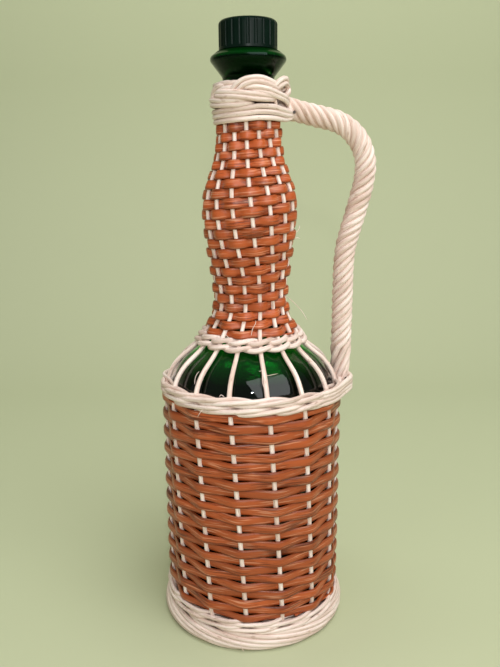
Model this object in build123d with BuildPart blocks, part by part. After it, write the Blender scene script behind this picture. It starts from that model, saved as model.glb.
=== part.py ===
import os
from build123d import *
from math import cos, radians, sin

os.makedirs("parts", exist_ok=True)

# Glass bottle, from its heel to its pouring lip
glass_radius = 44.6
glass_wall = 3.0
glass_floor = 4.0
punt_rise = 5.0
heel_radius = 7.0
body_length = 130.4
throat_length = 144.0
neck_radius = 12.4
neck_length = 23.5
cone_foot_radius = 13.6
cone_height = 9.3
lip_radius = 20.9
lip_rounding = 2.4
crown_height = 3.4
shelf_radius = 16.2
finish_height = 12.3
rim_rounding = 1.0
punt_share = 0.75

# Outline of the shoulder and neck, as shares of the body radius and the throat length
throat_radius_shares = (
    0.965, 0.843, 0.628, 0.487, 0.392, 0.357, 0.385, 0.44, 0.47, 0.455, 0.399, 0.332, 0.294, 0.281)
throat_height_shares = (
    0.0625, 0.118, 0.174, 0.236, 0.292, 0.354, 0.463, 0.578, 0.68, 0.75, 0.806, 0.861, 0.917, 0.96)

# Thread of the finish and the cap
thread_pitch = 4.2
thread_height = 1.2
thread_base = 2.0
thread_crest = 1.0
thread_sink = 0.2
thread_lead_in = 3.4
glass_thread_turns = 1.25
cap_thread_turns = 1.0

# Screw cap and its liner
cap_radius = 15.2
cap_wall = 1.3
cap_top = 1.5
cap_skirt_gap = 0.3
cap_rounding = 2.4
cap_bead = 1.6
hem_rounding = 0.45
flute_count = 24
flute_radius = 1.1
flute_depth = 0.45
liner_thickness = 1.2
liner_radius = 13.0
seal_gap = 0.05

# Willow: stakes, split weavers and the gaps between them
stake_count = 15
stake_diameter = 2.4
body_strand = 2.0
neck_strand = 1.6
weave_gap = 0.1
strand_crown = 0.8
body_rows = 24
neck_rows = 23
body_weave_above_shoulder = -0.8

# Azimuth of a stake in degrees, and the shares of its length where it is given
stake_start = 9.7
stake_turns = (
    9.8, 9.3, 1.2, 0.6, 0.1, 0.0, 0.1, 1.2, 3.8, 5.6,
    5.9, 3.2, -3.0, -6.6, -9.0, -10.8, -12.2, -13.4, -15.0)
stake_height_shares = (
    0.0, 0.06, 0.479, 0.494, 0.514, 0.545, 0.575, 0.603, 0.631, 0.65,
    0.665, 0.722, 0.781, 0.833, 0.869, 0.897, 0.926, 0.954, 1.0)

# Bands of peeled rods
rod_diameter = 2.65
lower_band_rounds = 3
lower_band_rod = 3.3
upper_band_rounds = 2
upper_band_pitch = 3.3
upper_band_stack = 6.6
foot_wale_rounds = 3
foot_wale_rod = 3.58
upper_band_crown = 0.9

# Foot border, rolled from rods, and the base that the glass stands on
border_diameter = 3.0
border_flat = 0.5
border_gap = 0.1
stick_diameter = 3.0
stick_count = 4
stick_pitch = 6.5
stick_lift = 1.5
base_ring_inner = 15.5
base_crown = 0.7

# Collar wound round the glass neck
collar_rods = 8
collar_lining = 3.7
collar_swell = 2.0
collar_gap = 0.05
collar_swell_shares = (0.0, 0.35, 0.6, 0.8, 1.0, 0.8, 0.15, -0.6)

# Handle, six rods laid round a core
handle_azimuth = 3.0
handle_rod = 3.8
handle_pitch_radius = 3.9
handle_rods = 6
handle_root_reach = 14.6
handle_root_below = 13.9
handle_bow_overhang = 19.9
handle_bow_below = 26.5
handle_knee_overhang = 7.7
handle_knee_above = 65.0
handle_foot_overhang = 7.0
handle_bow_radius = 22.0
handle_knee_radius = 60.0
handle_gap = 0.1

# Tacks that pin the handle
tack_head = 1.6
tack_head_height = 0.4
tack_shank = 0.9
tack_length = 5.0
tack_root_reach = 23.5
tack_root_drop = 1.5
tack_foot_rise = 4.5
tack_foot_low_rise = 1.8
tack_foot_offset = 2.4

# Levels, from the floor up
border_radius = border_diameter / 2
stick_level = stick_lift + stick_diameter / 2
upper_stick_level = stick_level + stick_diameter + seal_gap
glass_base = upper_stick_level + stick_diameter / 2 + seal_gap
shoulder_level = glass_base + body_length
throat_level = shoulder_level + throat_length
cone_level = throat_level + neck_length
lip_level = cone_level + cone_height
shelf_level = lip_level + crown_height
mouth_level = shelf_level + finish_height
cap_level = mouth_level + liner_thickness + 2 * seal_gap + cap_top
body_weave_top = shoulder_level + body_weave_above_shoulder
border_step = border_diameter + border_gap
border_floor_level = border_radius - border_flat
border_slope = radians(30)
border_outer_level = border_floor_level + border_step * cos(border_slope)
border_top_level = border_floor_level + 2 * border_step * cos(border_slope)
foot_wale_bottom = border_top_level + border_radius + border_gap
body_weave_bottom = foot_wale_bottom + foot_wale_rounds * (foot_wale_rod + weave_gap)
body_weave_height = body_weave_top - body_weave_bottom
neck_weave_bottom = shoulder_level + throat_height_shares[3] * throat_length
upper_band_bottom = neck_weave_bottom - upper_band_rounds * upper_band_pitch

# Radii of the stack of strand, stake and strand
stake_radius = stake_diameter / 2
body_stake_offset = weave_gap + body_strand + stake_radius
neck_stake_offset = weave_gap + neck_strand + stake_radius
stake_ring = glass_radius + body_stake_offset
stake_foot = border_floor_level + border_radius + border_gap
stake_length = throat_level - weave_gap - stake_foot
bow_reach = glass_radius + handle_bow_overhang
knee_reach = glass_radius + handle_knee_overhang
foot_reach = glass_radius + handle_foot_overhang


def throat_points(shift):
    places = zip(throat_radius_shares, throat_height_shares)
    middle = [(glass_radius * r + shift, shoulder_level + throat_length * h) for r, h in places]
    return [(glass_radius + shift, shoulder_level), *middle, (neck_radius + shift, throat_level)]


throat_curve = Spline(*throat_points(0))


# Radius of the glass outside at a level above the heel
def glass_at(level):
    if level <= shoulder_level:
        return glass_radius
    if level >= throat_level:
        return neck_radius + (cone_foot_radius - neck_radius) * (level - throat_level) / neck_length
    low, high = 0, 1
    for _ in range(30):
        middle = (low + high) / 2
        if (throat_curve @ middle).Y < level:
            low = middle
        else:
            high = middle
    return (throat_curve @ low).X


# Place on a circle round the bottle, turned from the front towards the handle side
def round_axis(radius, turn, level):
    return (radius * sin(radians(turn)), -radius * cos(radians(turn)), level)


def write(piece, name):
    piece.part.label = name
    export_step(piece.part, "parts/" + name + ".step")


# A ridge of trapezoid section wound up a cylinder, standing out by a signed height
def wind_thread(radius, height, sink, turns, start):
    with BuildPart() as ridge:
        with BuildLine() as helix:
            Helix(thread_pitch, turns * thread_pitch, radius, center=(0, 0, start))
        plane = Plane(origin=helix.line @ 0, x_dir=(1, 0, 0), z_dir=helix.line % 0)
        with BuildSketch(plane):
            with BuildLine():
                Polyline((-sink, -thread_base / 2), (height, -thread_crest / 2),
                         (height, thread_crest / 2), (-sink, thread_base / 2), close=True)
            make_face()
        sweep(path=helix.line, is_frenet=True)
    return ridge.part


# Glass bottle, blown with a punt and a threaded finish
glass_thread_start = shelf_level + thread_lead_in + thread_base / 2
bore_radius = neck_radius - glass_wall
inner_radius = glass_radius - glass_wall
inner_heel = heel_radius - glass_wall
inner_floor = glass_base + glass_floor
heel_reach = glass_radius - heel_radius
with BuildPart() as glass_bottle:
    with BuildSketch(Plane.XZ):
        with BuildLine():
            ThreePointArc(
                (0, glass_base + punt_rise),
                (heel_reach / 2, glass_base + punt_share * punt_rise),
                (heel_reach, glass_base))
            TangentArc((heel_reach, glass_base), (glass_radius, glass_base + heel_radius), tangent=(1, 0))
            Line((glass_radius, glass_base + heel_radius), (glass_radius, shoulder_level))
            Spline(*throat_points(0))
            FilletPolyline(
                (neck_radius, throat_level), (cone_foot_radius, cone_level), (lip_radius, lip_level),
                (shelf_radius, shelf_level), (neck_radius, shelf_level), (neck_radius, mouth_level),
                (bore_radius, mouth_level), (bore_radius, throat_level),
                radius=(lip_rounding, lip_rounding, rim_rounding, rim_rounding, rim_rounding, rim_rounding))
            Spline(*throat_points(-glass_wall))
            Line((inner_radius, shoulder_level), (inner_radius, inner_floor + inner_heel))
            TangentArc((heel_reach, inner_floor), (inner_radius, inner_floor + inner_heel), tangent=(1, 0))
            ThreePointArc(
                (0, inner_floor + punt_rise),
                (heel_reach / 2, inner_floor + punt_share * punt_rise),
                (heel_reach, inner_floor))
            Line((0, inner_floor + punt_rise), (0, glass_base + punt_rise))
        make_face()
    revolve(axis=Axis.Z)
    add(wind_thread(neck_radius, thread_height, thread_sink, glass_thread_turns, glass_thread_start))
write(glass_bottle, "glass_bottle")

# Liner disc that the cap presses on the glass rim
with BuildPart() as cap_liner:
    with BuildSketch(Plane.XY.offset(mouth_level + seal_gap)):
        Circle(liner_radius)
    extrude(amount=liner_thickness)
write(cap_liner, "cap_liner")

# Screw cap with a plain bead at its hem and flutes above it
cap_bottom = shelf_level + cap_skirt_gap
cap_bore = cap_radius - cap_wall
cap_ceiling = cap_level - cap_top
with BuildPart() as screw_cap:
    with BuildSketch(Plane.XZ):
        with BuildLine():
            FilletPolyline(
                (0, cap_level), (cap_radius, cap_level), (cap_radius, cap_bottom), (cap_bore, cap_bottom),
                radius=(cap_rounding, hem_rounding))
            Polyline((cap_bore, cap_bottom), (cap_bore, cap_ceiling), (0, cap_ceiling), (0, cap_level))
        make_face()
    revolve(axis=Axis.Z)
    with BuildSketch(Plane.XY.offset(cap_bottom + cap_bead)):
        with PolarLocations(cap_radius + flute_radius - flute_depth, flute_count):
            Circle(flute_radius)
    extrude(amount=cap_level - cap_rounding / 2 - cap_bottom - cap_bead, mode=Mode.SUBTRACT)
    cap_thread_start = glass_thread_start - thread_pitch / 2
    add(wind_thread(cap_bore, -thread_height, -thread_sink, cap_thread_turns, cap_thread_start))
write(screw_cap, "screw_cap")


# Points along a stake, which leans a little round the bottle as it climbs
def stake_points(start):
    points = []
    for turn, share in zip(stake_turns, stake_height_shares):
        level = stake_foot + share * stake_length
        fade = min(max((level - shoulder_level) / (neck_weave_bottom - shoulder_level), 0), 1)
        offset = body_stake_offset + fade * (neck_stake_offset - body_stake_offset)
        points.append(round_axis(glass_at(level) + offset, start + turn, level))
    return points


def sweep_rod(points, radius):
    with BuildPart() as rod:
        with BuildLine() as route:
            Polyline(*points)
        with BuildSketch(Plane(origin=route.line @ 0, z_dir=route.line % 0)):
            Circle(radius)
        sweep(path=route.line, transition=Transition.RIGHT)
    return rod


# Fifteen upright stakes of peeled willow
stake_channels = []
for number in range(stake_count):
    points = stake_points(stake_start + number * 360 / stake_count)
    write(sweep_rod(points, stake_radius), f"stake_{number + 1:02d}")
    stake_channels.append(sweep_rod(points, stake_radius + weave_gap / 2).part)

# The space that the glass takes inside the willow
with BuildPart() as glass_space:
    with BuildSketch(Plane.XZ):
        with BuildLine():
            Line((0, glass_base), (glass_radius + weave_gap, glass_base))
            Line((glass_radius + weave_gap, glass_base), (glass_radius + weave_gap, shoulder_level))
            Spline(*throat_points(weave_gap))
            Polyline((neck_radius + weave_gap, throat_level), (cone_foot_radius + weave_gap, cone_level),
                     (0, cone_level), (0, glass_base))
        make_face()
    revolve(axis=Axis.Z)

# Route of the handle, from the collar over its bow and down to the lower band
turn_x, turn_y = cos(radians(handle_azimuth)), sin(radians(handle_azimuth))
handle_plane = Plane(origin=(0, 0, 0), x_dir=(turn_x, turn_y, 0), z_dir=(turn_y, -turn_x, 0))
handle_route = [
    (handle_root_reach, cone_level - handle_root_below),
    (bow_reach, cone_level - handle_bow_below),
    (knee_reach, shoulder_level + handle_knee_above),
    (foot_reach, body_weave_top + handle_gap)]
handle_radius = handle_pitch_radius + handle_rod / 2


# A round rod swept along the handle's route, set off from its middle
def lay_handle(radius, offset, angle):
    with BuildPart() as rod:
        with BuildLine(handle_plane) as route:
            FilletPolyline(*handle_route, radius=(handle_bow_radius, handle_knee_radius))
        with BuildSketch(Plane(origin=route.line @ 0, x_dir=handle_plane.z_dir, z_dir=route.line % 0)):
            with Locations((offset * cos(radians(angle)), offset * sin(radians(angle)))):
                Circle(radius)
        sweep(path=route.line)
    return rod


# Three tacks, driven into the handle from the front
foot_level = body_weave_top + handle_gap
root_level = cone_level - handle_root_below
bow_fall = (handle_bow_below - handle_root_below) / (bow_reach - handle_root_reach)
tack_root_level = root_level - bow_fall * (tack_root_reach - handle_root_reach) - tack_root_drop
tack_places = [
    (tack_root_reach, tack_root_level),
    (foot_reach + tack_foot_offset, foot_level + tack_foot_rise),
    (foot_reach - tack_foot_offset, foot_level + tack_foot_low_rise)]
with BuildPart() as tacks:
    with BuildSketch(handle_plane.offset(handle_radius)):
        with Locations(*tack_places):
            Circle(tack_head / 2)
    extrude(amount=tack_head_height)
    with BuildSketch(handle_plane.offset(handle_radius)):
        with Locations(*tack_places):
            Circle(tack_shank / 2)
    extrude(amount=-tack_length)
write(tacks, "tacks")

# Twisted handle: a core rod and six rods round it
handle_pieces = [(lay_handle(handle_rod / 2, 0, 0), "handle_core")]
for number in range(handle_rods):
    rod = lay_handle(handle_rod / 2, handle_pitch_radius, (number + 0.5) * 360 / handle_rods)
    handle_pieces.append((rod, f"handle_rod_{number + 1}"))
for rod, name in handle_pieces:
    with BuildPart() as pinned_rod:
        add(rod.part)
        add(tacks.part, mode=Mode.SUBTRACT)
    write(pinned_rod, name)
handle_space = lay_handle(handle_radius + handle_gap, 0, 0).part


# A ring of woven rounds: ribbed outside, open for the glass, the stakes and other pieces
def weave_ring(bottom, rounds, pitch, reach_at, crown, openings):
    with BuildPart() as ring:
        with BuildSketch(Plane.XZ):
            with BuildLine():
                for row in range(rounds):
                    low = bottom + row * pitch
                    ThreePointArc((reach_at(low) - crown, low), (reach_at(low + pitch / 2), low + pitch / 2),
                                  (reach_at(low + pitch) - crown, low + pitch))
                top = bottom + rounds * pitch
                edge = [(reach_at(top) - crown, top), (reach_at(bottom) - crown, bottom)]
                Polyline(edge[0], (0, top), (0, bottom), edge[1])
            make_face()
        revolve(axis=Axis.Z)
        add(glass_space.part, mode=Mode.SUBTRACT)
        add(openings, mode=Mode.SUBTRACT)
    return ring


def body_reach(level):
    return stake_ring + stake_radius + body_strand


def neck_reach(level):
    return glass_at(level) + neck_stake_offset + stake_radius + neck_strand


def upper_band_reach(level):
    return glass_at(level) + upper_band_stack


# Brown strands woven round the body and the neck
body_pitch = body_weave_height / body_rows
neck_pitch = (throat_level - neck_weave_bottom) / neck_rows
body_weaver = weave_ring(body_weave_bottom, body_rows, body_pitch, body_reach, strand_crown, stake_channels)
write(body_weaver, "body_weaver")
neck_weaver = weave_ring(neck_weave_bottom, neck_rows, neck_pitch, neck_reach, strand_crown, stake_channels)
write(neck_weaver, "neck_weaver")


# A round rod bent into a ring, with openings where other pieces pass
def bend_ring(reach, level, radius, openings):
    with BuildPart() as ring:
        with BuildSketch(Plane.XZ):
            with Locations((reach, level)):
                Circle(radius)
        revolve(axis=Axis.Z)
        if openings:
            add(openings, mode=Mode.SUBTRACT)
    return ring


# Lower band outside the stakes, open where the foot of the handle stands in it
band_reach = stake_ring + stake_radius + weave_gap
for number in range(lower_band_rounds):
    level = body_weave_top + weave_gap + (number + 0.5) * (lower_band_rod + weave_gap)
    ring = bend_ring(band_reach + lower_band_rod / 2, level, lower_band_rod / 2, [handle_space, tacks.part])
    write(ring, f"lower_band_rod_{number + 1}")

# Upper band of two twined rounds
for number in range(upper_band_rounds):
    low = upper_band_bottom + number * upper_band_pitch
    ring = weave_ring(low, 1, upper_band_pitch, upper_band_reach, upper_band_crown, stake_channels)
    write(ring, f"upper_band_rod_{number + 1}")

# Rods of the foot border: three under the basket and two outside its stakes
border_places = [
    (stake_ring - border_step, border_floor_level),
    (stake_ring, border_floor_level),
    (stake_ring + border_step, border_floor_level),
    (stake_ring + border_step + border_radius, border_outer_level),
    (stake_ring + border_step, border_top_level)]
for number, (reach, level) in enumerate(border_places):
    with BuildPart() as border_rod:
        add(bend_ring(reach, level, border_radius, []).part)
        split(bisect_by=Plane.XY)
    write(border_rod, f"foot_border_rod_{number + 1}")

# Foot wale between the border and the brown weave
for number in range(foot_wale_rounds):
    level = foot_wale_bottom + (number + 0.5) * (foot_wale_rod + weave_gap)
    ring = bend_ring(band_reach + foot_wale_rod / 2, level, foot_wale_rod / 2, [])
    write(ring, f"foot_wale_rod_{number + 1}")

# Crossed base sticks that the glass stands on
base_reach = stake_ring - border_step - border_radius - border_gap
stick_radius = stick_diameter / 2


def lay_sticks(level, side):
    with BuildPart() as sticks:
        for number in range(stick_count):
            offset = (number - (stick_count - 1) / 2) * stick_pitch
            half = (base_reach ** 2 - (abs(offset) + stick_radius) ** 2) ** 0.5
            origin = (-half, offset, level) if side == "x" else (offset, -half, level)
            direction = (1, 0, 0) if side == "x" else (0, 1, 0)
            with BuildSketch(Plane(origin=origin, z_dir=direction)):
                Circle(stick_radius)
            extrude(amount=2 * half)
    return sticks


lower_sticks = lay_sticks(stick_level, "x")
upper_sticks = lay_sticks(upper_stick_level, "y")
write(lower_sticks, "base_sticks_lower")
write(upper_sticks, "base_sticks_upper")

# Strand woven round the base sticks
base_half = stick_diameter + seal_gap / 2
base_middle = (stick_level + upper_stick_level) / 2
with BuildPart() as base_weaver:
    with BuildSketch(Plane.XY.offset(base_middle - base_half + base_crown)):
        Circle(base_reach)
        Circle(base_ring_inner, mode=Mode.SUBTRACT)
    extrude(amount=2 * (base_half - base_crown))
    add([lower_sticks.part, upper_sticks.part], mode=Mode.SUBTRACT)
write(base_weaver, "base_weaver")

# Collar rods wound round a lining, open where the handle grows out of them
rod_radius = rod_diameter / 2
collar_pitch = rod_diameter + collar_gap
lining_radius = neck_radius + collar_lining
collar_places = [
    (lining_radius + collar_swell * share + rod_radius, throat_level + (number + 0.5) * collar_pitch)
    for number, share in enumerate(collar_swell_shares)]
for number, (reach, level) in enumerate(collar_places[:collar_rods]):
    write(bend_ring(reach, level, rod_radius, [handle_space]), f"collar_rod_{number + 1}")

with BuildPart() as collar_lining_piece:
    with BuildSketch(Plane.XZ):
        with BuildLine():
            edge = [(reach - rod_radius - collar_gap, level + side * collar_pitch / 2)
                    for reach, level in collar_places for side in (-1, 1)]
            Polyline((0, edge[0][1]), *edge, (0, edge[-1][1]), close=True)
        make_face()
    revolve(axis=Axis.Z)
    add(glass_space.part, mode=Mode.SUBTRACT)
    add(handle_space, mode=Mode.SUBTRACT)
write(collar_lining_piece, "collar_lining")

print("total height", round(cap_level, 2), "handle reach", round(bow_reach, 2))
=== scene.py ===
import bmesh
import bpy
import math
import random
from mathutils import Matrix, Vector, noise
from mathutils.geometry import interpolate_bezier


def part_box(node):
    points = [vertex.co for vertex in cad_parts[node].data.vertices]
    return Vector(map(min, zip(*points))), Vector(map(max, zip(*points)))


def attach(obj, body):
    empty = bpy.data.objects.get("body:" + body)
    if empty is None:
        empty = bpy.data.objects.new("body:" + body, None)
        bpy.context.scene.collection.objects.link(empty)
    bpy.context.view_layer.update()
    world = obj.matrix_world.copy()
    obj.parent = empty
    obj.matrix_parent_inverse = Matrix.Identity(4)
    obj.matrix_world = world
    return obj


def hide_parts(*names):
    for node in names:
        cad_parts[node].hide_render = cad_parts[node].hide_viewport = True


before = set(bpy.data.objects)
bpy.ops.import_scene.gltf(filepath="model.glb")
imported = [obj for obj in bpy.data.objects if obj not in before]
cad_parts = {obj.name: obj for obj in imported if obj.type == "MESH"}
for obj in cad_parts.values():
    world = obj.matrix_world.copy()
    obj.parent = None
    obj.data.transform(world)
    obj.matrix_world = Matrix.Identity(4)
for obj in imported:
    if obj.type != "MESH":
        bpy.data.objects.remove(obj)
bpy.context.view_layer.update()
random.seed(7)

# Glass bottle, blown in dark green glass about 3 mm thick, with a bulged neck and a flared lip.
# It shows between the stakes at the shoulder and above the collar; the willow holds it.


def new_material(name):
    material = bpy.data.materials.new(name)
    material.use_nodes = True
    tree = material.node_tree
    return material, tree, tree.nodes["Principled BSDF"]


def add_node(tree, kind, settings=(), **links):
    """Adds a shader node, sets its sockets from numbers and joins them to other nodes' sockets."""
    made = tree.nodes.new(kind)
    for name, value in dict(settings).items():
        if name in made.inputs:
            made.inputs[name].default_value = value
        else:
            setattr(made, name, value)
    for name, source in links.items():
        tree.links.new(source, made.inputs[name.replace("_", " ")])
    return made


def colour_steps(tree, factor, steps):
    """A colour ramp with the given (place, colour) steps."""
    ramp = tree.nodes.new("ShaderNodeValToRGB")
    tree.links.new(factor, ramp.inputs["Fac"])
    for number, (place, colour) in enumerate(steps):
        if number > 1:
            ramp.color_ramp.elements.new(place)
        ramp.color_ramp.elements[number].position = place
        ramp.color_ramp.elements[number].color = (*colour, 1)
    return ramp.outputs["Color"]


def share_steps(tree, factor, steps):
    """A ramp of plain shares between 0 and 1, with the given (place, share) steps."""
    return colour_steps(tree, factor, [(place, (share, share, share)) for place, share in steps])


def dress_node(name, material):
    for material_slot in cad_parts[name].material_slots:
        material_slot.material = material


green_glass, tree, shader = new_material("green_glass")
place = add_node(tree, "ShaderNodeTexCoord").outputs["Object"]
swirl = add_node(tree, "ShaderNodeTexNoise", {"Scale": 28.0, "Detail": 2.0}, Vector=place)
glass_colour = colour_steps(tree, swirl.outputs["Fac"], [
    (0.3, (0.001, 0.5, 0.028)), (0.7, (0.002, 0.66, 0.046))])
height = add_node(tree, "ShaderNodeSeparateXYZ", Vector=place).outputs["Z"]
up_share = add_node(tree, "ShaderNodeMapRange", {"From Min": 0.14, "From Max": 0.32},
                    Value=height).outputs["Result"]
# Glass colour scaled by height: near black low on the shoulder, a painted glow in a bright band at its top
# where light shines through, then darker on the neck and lip.
painted_glow_by_height = share_steps(tree, up_share, [
    (0.0, 0.03), (0.055, 0.06), (0.12, 0.98), (0.155, 0.98), (0.175, 0.08), (0.82, 0.08), (0.86, 0.27),
    (0.92, 0.11), (0.97, 0.11), (0.983, 0.022)])
glass_colour_with_painted_glow = add_node(tree, "ShaderNodeVectorMath", {"operation": "MULTIPLY"})
tree.links.new(glass_colour, glass_colour_with_painted_glow.inputs[0])
tree.links.new(painted_glow_by_height, glass_colour_with_painted_glow.inputs[1])
tree.links.new(glass_colour_with_painted_glow.outputs["Vector"], shader.inputs["Base Color"])
lip_sheen = colour_steps(tree, up_share, [
    (0.9, (1.0, 1.0, 1.0)), (0.92, (0.06, 0.22, 0.08)), (0.958, (0.06, 0.22, 0.08)),
    (0.976, (0.5, 0.62, 0.66))])
tree.links.new(lip_sheen, shader.inputs["Specular Tint"])
gloss = share_steps(tree, up_share, [(0.9, 0.19), (0.92, 0.13), (0.98, 0.13), (0.986, 0.02)])
tree.links.new(gloss, shader.inputs["Specular IOR Level"])
seeds = add_node(tree, "ShaderNodeTexVoronoi", {"Scale": 190.0}, Vector=place)
seed_bump = add_node(tree, "ShaderNodeBump", {"Strength": 0.04, "Distance": 0.0004},
                     Height=seeds.outputs["Distance"])
waves = add_node(tree, "ShaderNodeBump", {"Strength": 0.25, "Distance": 0.0015},
                 Height=swirl.outputs["Fac"], Normal=seed_bump.outputs["Normal"])
tree.links.new(waves.outputs["Normal"], shader.inputs["Normal"])
clearness = share_steps(tree, up_share, [(0.97, 0.95), (0.98, 0.0)])
tree.links.new(clearness, shader.inputs["Transmission Weight"])
dullness = share_steps(tree, up_share, [(0.98, 0.015), (0.987, 0.6)])
tree.links.new(dullness, shader.inputs["Roughness"])
shader.inputs["IOR"].default_value = 1.5
dress_node("glass_bottle", green_glass)

# Screw cap, moulded in dark green plastic with 24 flutes, and the pale foam liner that seals it.
# The cap turns on the bottle's thread, and the liner lifts with it.
cap_plastic, tree, shader = new_material("cap_plastic")
place = add_node(tree, "ShaderNodeTexCoord").outputs["Object"]
moulded = add_node(tree, "ShaderNodeTexNoise", {"Scale": 900.0, "Detail": 3.0}, Vector=place)
handling = add_node(tree, "ShaderNodeTexNoise", {"Scale": 120.0, "Detail": 4.0}, Vector=place)
cap_colour = colour_steps(tree, handling.outputs["Fac"], [
    (0.3, (0.0008, 0.0065, 0.0035)), (0.75, (0.0018, 0.011, 0.0062))])
tree.links.new(cap_colour, shader.inputs["Base Color"])
cap_gloss = add_node(tree, "ShaderNodeMapRange", {"To Min": 0.26, "To Max": 0.38},
                     Value=handling.outputs["Fac"])
tree.links.new(cap_gloss.outputs["Result"], shader.inputs["Roughness"])
grained = add_node(tree, "ShaderNodeBump", {"Strength": 0.12, "Distance": 0.0002},
                   Height=moulded.outputs["Fac"])
tree.links.new(grained.outputs["Normal"], shader.inputs["Normal"])
shader.inputs["Specular IOR Level"].default_value = 0.16
dress_node("screw_cap", cap_plastic)

liner_foam, tree, shader = new_material("liner_foam")
place = add_node(tree, "ShaderNodeTexCoord").outputs["Object"]
cells = add_node(tree, "ShaderNodeTexVoronoi", {"Scale": 2500.0}, Vector=place)
foam_colour = colour_steps(tree, cells.outputs["Distance"], [
    (0.0, (0.55, 0.55, 0.52)), (0.6, (0.78, 0.78, 0.74))])
tree.links.new(foam_colour, shader.inputs["Base Color"])
pitted = add_node(tree, "ShaderNodeBump", {"Strength": 0.3, "Distance": 0.0002},
                  Height=cells.outputs["Distance"])
tree.links.new(pitted.outputs["Normal"], shader.inputs["Normal"])
shader.inputs["Roughness"].default_value = 0.8
dress_node("cap_liner", liner_foam)

# Fifteen upright stakes of peeled willow, 2.2 to 2.6 mm thick, bent to the bottle from foot to collar.
# They are set in the foot border, and every strand of the weave passes over and under them.
mm = 0.001
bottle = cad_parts["glass_bottle"]
stake_count = 15
stake_thick = 2.4
stake_stations = 120
stake_start = 9.7
stake_foot = 2.6
stake_length = 279.3
stake_top = 284.6
shoulder_level = 138.0
neck_weave_bottom = 172.0
body_clearance = 3.3
neck_clearance = 2.9
body_set = 0.75
set_foot = 14
set_foot_run = 8
set_top_run = 5
feeler_start = 0.1
stake_thick_levels = (stake_foot, 150, 182, stake_top)
stake_thick_shares = (1.1, 1.1, 0.92, 0.92)
stake_uneven = 0.06
stake_tone = 1.1
stake_tone_play = 0.03
grain_length = 5000
stake_turns = (
    9.8, 9.3, 1.2, 0.6, 0.1, 0.0, 0.1, 1.2, 3.8, 5.6, 5.9, 3.2, -3.0, -6.6, -9.0, -10.8, -12.2, -13.4, -15.0)
stake_shares = (
    0.0, 0.06, 0.479, 0.494, 0.514, 0.545, 0.575, 0.603, 0.631, 0.65, 0.665, 0.722, 0.781, 0.833, 0.869,
    0.897, 0.926, 0.954, 1.0)


def bend_through(places, values, place):
    """A smooth curve through the values given at these places, read at one place."""
    last = len(places) - 1
    low = max([k for k in range(last) if places[k] <= place], default=0)
    step = places[low + 1] - places[low]
    share = min(max((place - places[low]) / step, 0), 1)

    def slope(k):
        before, after = max(k - 1, 0), min(k + 1, last)
        return (values[after] - values[before]) / (places[after] - places[before]) * step

    return (values[low] * (1 + 2 * share) * (1 - share) ** 2 + slope(low) * share * (1 - share) ** 2
            + values[low + 1] * share ** 2 * (3 - 2 * share) + slope(low + 1) * share ** 2 * (share - 1))


def glass_radius(level):
    """Outside radius of the glass in millimetres, felt from outside at a level."""
    place = bottle.ray_cast(Vector((feeler_start, 0, level * mm)), Vector((-1, 0, 0)))[1]
    return place.x / mm


def stake_turn(number, level):
    """Degrees from the front towards the handle; a number between two stakes lies between them."""
    share = (level - stake_foot) / stake_length
    return stake_start + number * 360 / stake_count + bend_through(stake_shares, stake_turns, share)


def stake_ring(level):
    """Radius in millimetres of the circle that the stakes' middles stand on."""
    fade = min(max((level - shoulder_level) / (neck_weave_bottom - shoulder_level), 0), 1)
    return glass_radius(level) + body_clearance + fade * (neck_clearance - body_clearance)


def round_bottle(radius, turn, level):
    """A place in metres, from millimetres and the degrees from the front towards the handle."""
    angle = math.radians(turn)
    return Vector((radius * math.sin(angle), -radius * math.cos(angle), level)) * mm


def stake_set(level):
    """How far the stakes stand out between the bands, where the flat strands are drawn tight behind them."""
    return body_set * min(max((level - set_foot) / set_foot_run, 0),
                          max((shoulder_level - level) / set_top_run, 0), 1)


def away(turn, level=0.0):
    """Direction away from the glass at a place round the bottle."""
    slope = (stake_ring(level + 1) - stake_ring(level - 1)) / 2 if level else 0
    return (round_bottle(1, turn, 0) - Vector((0, 0, slope * mm))).normalized()


def start_piece():
    """An empty mesh whose points carry their place in the rod's grain and the rod's tone."""
    made = bmesh.new()
    made.verts.layers.float_vector.new("grain")
    made.verts.layers.float.new("tone")
    return made


def lay_rod(made, stations, sides=10, squareness=1.0):
    """Rolls a flat grid into a rod. A station is its middle, outward direction, width, depth and tone."""
    grain, tone = made.verts.layers.float_vector["grain"], made.verts.layers.float["tone"]
    last = len(stations) - 1
    sheet = bmesh.ops.create_grid(made, x_segments=last, y_segments=sides, size=1)["verts"]
    along = [random.uniform(0, grain_length)]
    for before, after in zip(stations, stations[1:]):
        along.append(along[-1] + (after[0] - before[0]).length / mm)
    for vert in sheet:
        number = round((vert.co.x + 1) / 2 * last)
        angle = math.tau * round((vert.co.y + 1) / 2 * sides) / sides
        middle, face, wide, deep, tone_and_painted_light = stations[number]
        ahead = (stations[min(number + 1, last)][0] - stations[max(number - 1, 0)][0]).normalized()
        outward = (face - ahead * face.dot(ahead)).normalized()
        across = math.copysign(abs(math.cos(angle)) ** squareness, math.cos(angle)) * wide / 2
        out = math.copysign(abs(math.sin(angle)) ** squareness, math.sin(angle)) * deep / 2
        vert.co = middle + (ahead.cross(outward) * across + outward * out) * mm
        vert[grain] = (across, out, along[number])
        vert[tone] = tone_and_painted_light
    bmesh.ops.remove_doubles(made, verts=sheet, dist=0.000001)


def finish_piece(made, name, material, slot_name, *nodes):
    """Closes the rods' ends, turns the faces outwards and puts the piece in the CAD nodes' place."""
    bmesh.ops.holes_fill(made, edges=[edge for edge in made.edges if edge.is_boundary])
    bmesh.ops.recalc_face_normals(made, faces=made.faces)
    for face in made.faces:
        face.smooth = True
    mesh = bpy.data.meshes.new(name)
    made.to_mesh(mesh)
    made.free()
    piece = bpy.data.objects.new(name, mesh)
    bpy.context.scene.collection.objects.link(piece)
    mesh.materials.append(material)
    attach(piece, "root")
    if nodes:
        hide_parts(*nodes)


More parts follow.
